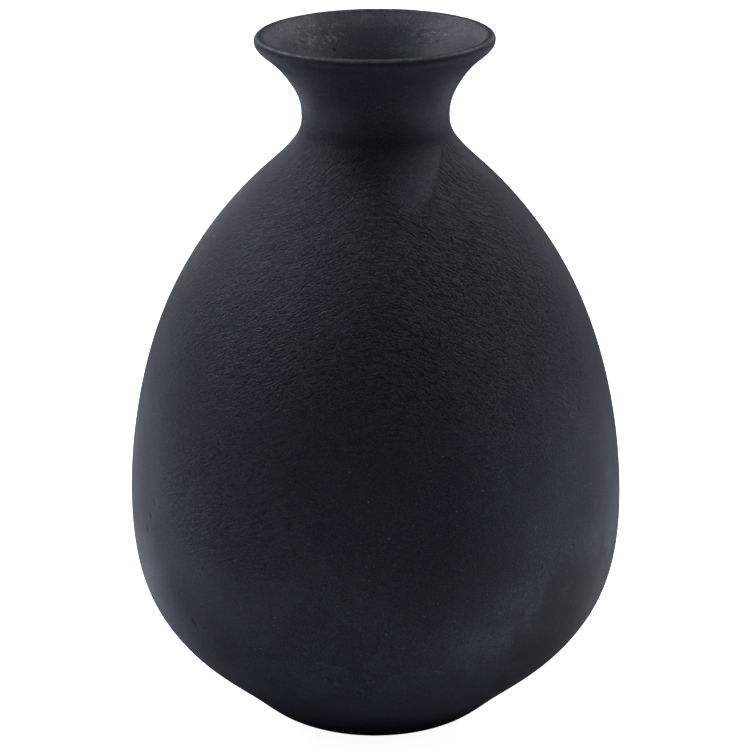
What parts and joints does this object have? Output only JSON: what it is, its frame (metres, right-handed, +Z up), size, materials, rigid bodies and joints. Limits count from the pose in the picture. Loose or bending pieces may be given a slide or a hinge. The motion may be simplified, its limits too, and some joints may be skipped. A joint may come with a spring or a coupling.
{
  "type": "clay pot",
  "caption": "Tall round-bellied pot of matte burnt-black clay, with a small flat foot, a narrow neck and a flared mouth with a rounded lip, for storing and pouring.",
  "frame": {"origin": "centre of the flat face that the pot stands on, on the pot's axis", "axes": "+Z up along the pot's axis, out of the mouth; -Y is the front, the side with the smooth patch under the neck and the wrinkled shoulder to its right"},
  "size_m": [0.2264, 0.2264, 0.33],
  "materials": {
    "black_clay": "matte, unglazed, smoke-blackened"
  },
  "bodies": {
    "root": {"pot": "black_clay"}
  },
  "joints": []
}
